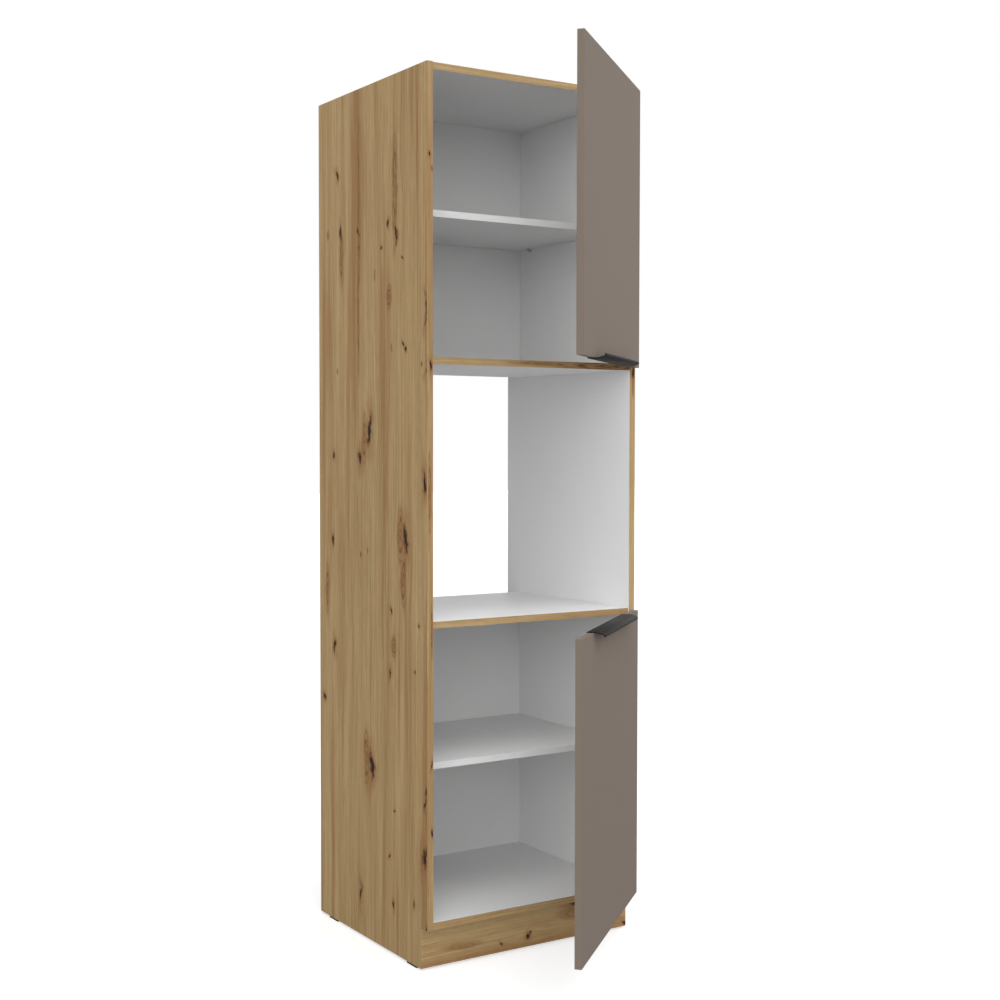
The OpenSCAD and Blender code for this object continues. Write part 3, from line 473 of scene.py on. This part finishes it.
special = {
    "left_side": oakMaterial("leftSideOak", leftFace, "z", lined=True),
    "right_side": oakMaterial("rightSideOak", rightFace, "z", lined=True),
    "left_side_edging": oakMaterial("leftBandOak", leftBand, "bandZ"),
    "right_side_edging": oakMaterial("rightBandOak", rightBand, "bandZ"),
    "panel_edging": oakMaterial("panelBandOak", panelBand, "x"),
    "plinth": oakMaterial("plinthOak", plinthFace, "x"),
    "upper_back": whiteMaterial("whiteHardboard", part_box("upper_back")[0].y + whiteCoat,
                                rawHardboard, grainScale=500.0, grainDetail=3.0),
}
special["lower_back"] = special["upper_back"]
slots = {part["node"]: part["material_slot"] for part in frame["record"]["subparts"]}
for name, node in frame["nodes"].items():
    material = special.get(name) or finishes.get(slots[name])
    if material:
        node.data.materials.clear()
        node.data.materials.append(material)
print("frame painted")


handle = {
    "length": 376 * mm,
    "sheet": 1.9 * mm,
    "doorGap": 3.5 * mm,
    "flange": 18 * mm,        # behind the door
    "lipStart": 17.5 * mm,    # forwards from the door's back face
    "lipRadius": 42 * mm,
    "lipSteps": 20,
    "innerSteps": 18,
    "innerShare": 0.9,        # of the lip's angle, for its inner face
    "reach": 41 * mm,
    "turn": 4.8 * mm,
    "turnSheet": 1.2,         # the turned rim's thickness, in sheets
    "corner": 12 * mm,        # of the lip, seen from above
    "cornerSteps": 8,
    "round": 0.35 * mm,
    "sharp": 0.6,             # radians between faces whose edge is rounded
    "smooth": 0.5,            # radians up to which an edge is shaded smooth
    "weld": 0.001 * mm,
    "light": tint(35, 34, 33),
    "dark": tint(28, 28, 27),
    "roughness": 0.5,
    "specular": 0.06,
    "brush": (9.0, 1400.0, 1400.0),
    "dustScale": 70.0,
    "relief": 0.01 * mm,
    "shares": (0.6, 0.4),     # of the brushing and of the dust in the tone
}


def handleMaterial(name, turn):
    # anodised black, brushed lengthwise
    material, tree, shader, place = newMaterial(name, handle["roughness"],
                                                Specular_IOR_Level=handle["specular"])
    turned = addNode(tree, "Mapping", {"Vector": place, "Rotation": (0, 0, -turn)}).outputs[0]
    brushed = noise(tree, stretch(tree, turned, handle["brush"]), 1.0, 3.0, 0.6)
    dust = noise(tree, turned, handle["dustScale"], 3.0)
    brushShare, dustShare = handle["shares"]
    tone = calc(tree, "MULTIPLY_ADD", dust, dustShare, calc(tree, "MULTIPLY", brushed, brushShare))
    tree.links.new(mix(tree, tone, handle["dark"], handle["light"]), shader.inputs["Base Color"])
    relief(tree, shader, brushed, handle["relief"])
    return material


def chain(mesh, points, first):
    # straight run of an outline onwards from a vertex
    for y, z in points:
        following = mesh.verts.new((first.co.x, y, z))
        mesh.edges.new((first, following))
        first = following
    return first


def sweep(mesh, start, centre, angle, steps):
    # arc of an outline: the vertex spun about the lip's centre
    made = bmesh.ops.spin(mesh, geom=[start], cent=centre, axis=(1, 0, 0), angle=angle, steps=steps,
                          use_merge=False)
    return [item for item in made["geom_last"] if isinstance(item, bmesh.types.BMVert)][0]


def roundCorner(mesh, side, size):
    # the lip's end is cut back by planes that touch the corner's arc
    radius = size["corner"]
    middle = Vector((side * (size["length"] / 2 - radius), radius - size["reach"], 0))
    for step in range(1, size["cornerSteps"]):
        angle = math.pi / 2 * step / size["cornerSteps"]
        outwards = Vector((side * math.cos(angle), -math.sin(angle), 0))
        everything = mesh.verts[:] + mesh.edges[:] + mesh.faces[:]
        bmesh.ops.bisect_plane(mesh, geom=everything, plane_co=middle + outwards * radius,
                               plane_no=outwards, clear_outer=True)
        bmesh.ops.holes_fill(mesh, edges=[edge for edge in mesh.edges if edge.is_boundary])


def outlineHandle(mesh, size):
    # the bent sheet's section: flange behind the door, top, curved lip and turned rim
    sheet, flange = size["sheet"], size["flange"]
    lipAngle = math.asin((size["reach"] - size["lipStart"]) / size["lipRadius"])
    innerAngle = lipAngle * size["innerShare"]
    centre = Vector((0, -size["lipStart"], sheet - size["lipRadius"]))
    start = mesh.verts.new((0, 0, 0))
    corner = chain(mesh, [(0, -flange), (sheet, -flange), (sheet, sheet), (-size["lipStart"], sheet)], start)
    outer = sweep(mesh, corner, centre, lipAngle, size["lipSteps"])
    inwards = (centre - outer.co).normalized()
    tip = outer.co + inwards * size["turn"]
    inner = tip + Vector((0, -inwards.z, inwards.y)) * sheet * size["turnSheet"]
    under = centre + Matrix.Rotation(innerAngle, 4, "X") @ Vector((0, 0, size["lipRadius"] - sheet))
    last = chain(mesh, [(tip.y, tip.z), (inner.y, inner.z), (under.y, under.z)], outer)
    last = sweep(mesh, last, centre, -innerAngle, size["innerSteps"])
    mesh.edges.new((last, start))


def makeHandle(name, way, door, body):
    # way 1 sits on the door's top edge, -1 under its bottom edge
    size = handle
    mesh = bmesh.new()
    outlineHandle(mesh, size)
    filled = bmesh.ops.contextual_create(mesh, geom=mesh.edges[:])["faces"]
    moved = bmesh.ops.extrude_face_region(mesh, geom=filled)["geom"]
    ends = [item for item in moved if isinstance(item, bmesh.types.BMVert)]
    bmesh.ops.translate(mesh, vec=(size["length"], 0, 0), verts=ends)
    bmesh.ops.translate(mesh, vec=(-size["length"] / 2, 0, 0), verts=mesh.verts[:])
    roundCorner(mesh, 1, size)
    roundCorner(mesh, -1, size)
    bmesh.ops.remove_doubles(mesh, verts=mesh.verts[:], dist=size["weld"])
    bmesh.ops.recalc_face_normals(mesh, faces=mesh.faces[:])
    sharp = [edge for edge in mesh.edges if edge.is_manifold and edge.calc_face_angle() > size["sharp"]]
    bmesh.ops.bevel(mesh, geom=sharp, offset=size["round"], offset_type="OFFSET", affect="EDGES",
                    segments=2, profile=0.5, material=-1)
    if way < 0:
        bmesh.ops.scale(mesh, vec=(1, 1, -1), verts=mesh.verts[:])
    bmesh.ops.recalc_face_normals(mesh, faces=mesh.faces[:])
    for face in mesh.faces:
        face.smooth = True
    for edge in mesh.edges:
        edge.smooth = edge.is_manifold and edge.calc_face_angle() < size["smooth"]
    # onto the closed door, then turned with it about the hinge pins
    low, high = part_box(door + "_edging")
    joint = joints[door + "_hinge"]
    opened = math.radians(-joint["range_deg"][0])
    back = (0, sideFront - size["doorGap"], high.z if way > 0 else low.z)
    bmesh.ops.translate(mesh, vec=back, verts=mesh.verts[:])
    bmesh.ops.rotate(mesh, cent=Vector(joint["pos_m"]), matrix=Matrix.Rotation(opened, 3, "Z"),
                     verts=mesh.verts[:])
    data = bpy.data.meshes.new(name)
    mesh.to_mesh(data)
    mesh.free()
    piece = bpy.data.objects.new(name, data)
    bpy.context.scene.collection.objects.link(piece)
    data.materials.append(handleMaterial(name + "Black", opened))
    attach(piece, body)
    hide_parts(door.replace("door", "handle"))


makeHandle("upperEdgeHandle", -1, "upper_door", "upper_door")
makeHandle("lowerEdgeHandle", 1, "lower_door", "lower_door")
print("handles made")


view = {
    "place": (-2043.1 * mm, -3309.8 * mm, 1236.3 * mm),
    "turn": 32.659,           # degrees from +Y towards +X
    "tilt": -2.154,
    "roll": 0.065,
    "lens": 54.767,           # as millimetres of a 36 mm sensor
    "sensor": 36.0,
    "near": 0.05,
    "far": 60.0,
}
# The dome of light is a sum of lobes: direction, sharpness, strength
dome = [
    ((0, -0.35, 0.95), 8, 3.1),
    ((-0.7, -0.7, 0), 6, 2.4),
    ((-0.35, -0.9, 0.25), 10, 1.5),
    ((-1, 0, 0.2), 6, 0.8),
    ((1, 0, 0), 1, 0.88),
    ((0, -1, 0), 1, 0.29),
]
floorLook = {
    "half": 30,               # metres from its middle to its edge
    "bounce": 0.4,            # grey that lights the object from below
    "seen": 0.6,              # grey and glow in the picture, white where no shadow lies
    "lift": 0.6,
}


def makeCamera():
    data = bpy.data.cameras.new("camera")
    data.lens = view["lens"]
    data.sensor_width = view["sensor"]
    data.clip_start = view["near"]
    data.clip_end = view["far"]
    camera = bpy.data.objects.new("camera", data)
    bpy.context.scene.collection.objects.link(camera)
    turn = Matrix.Rotation(-math.radians(view["turn"]), 4, "Z")
    tilt = Matrix.Rotation(math.radians(90 + view["tilt"]), 4, "X")
    roll = Matrix.Rotation(math.radians(view["roll"]), 4, "Z")
    camera.matrix_world = Matrix.Translation(view["place"]) @ turn @ tilt @ roll
    bpy.context.scene.camera = camera


def makeFloor():
    mesh = bmesh.new()
    bmesh.ops.create_grid(mesh, x_segments=2, y_segments=2, size=floorLook["half"])
    data = bpy.data.meshes.new("floor")
    mesh.to_mesh(data)
    mesh.free()
    floor = bpy.data.objects.new("floor", data)
    bpy.context.scene.collection.objects.link(floor)
    material = bpy.data.materials.new("paleFloor")
    material.use_nodes = True
    tree = material.node_tree
    tree.nodes.remove(tree.nodes["Principled BSDF"])
    seen = addNode(tree, "LightPath").outputs["Is Camera Ray"]
    shade = mix(tree, seen, grey(floorLook["bounce"]), grey(floorLook["seen"]))
    matt = addNode(tree, "BsdfDiffuse", {"Color": shade}).outputs[0]
    lift = calc(tree, "MULTIPLY", seen, floorLook["lift"])
    glow = addNode(tree, "Emission", {"Strength": lift}).outputs[0]
    both = addNode(tree, "AddShader", {0: matt, 1: glow}).outputs[0]
    tree.links.new(both, tree.nodes["Material Output"].inputs["Surface"])
    data.materials.append(material)


def makeLight():
    scene = bpy.context.scene
    scene.world = bpy.data.worlds.new("studio")
    scene.world.use_nodes = True
    tree = scene.world.node_tree
    background = tree.nodes["Background"]
    towards = addNode(tree, "TexCoord").outputs["Generated"]
    total = 0.0
    for axis, sharpness, strength in dome:
        axis = Vector(axis).normalized()
        facing = addNode(tree, "VectorMath", {0: towards, 1: axis}, operation="DOT_PRODUCT").outputs["Value"]
        lobe = calc(tree, "POWER", calc(tree, "MAXIMUM", facing, 0.0), sharpness)
        total = calc(tree, "MULTIPLY_ADD", lobe, strength, total)
    path = addNode(tree, "LightPath").outputs
    seen = calc(tree, "MAXIMUM", path["Is Camera Ray"], path["Is Transmission Ray"])
    seen = calc(tree, "MAXIMUM", seen, path["Is Glossy Ray"])    # white, also in what mirrors it
    strength = addNode(tree, "Mix", {0: seen, 2: total, 3: 1.0}, data_type="FLOAT").outputs[0]
    tree.links.new(strength, background.inputs["Strength"])
    background.inputs["Color"].default_value = grey(1)
    scene.view_settings.view_transform = "Standard"


makeCamera()
makeFloor()
makeLight()
print("camera, floor and light made")
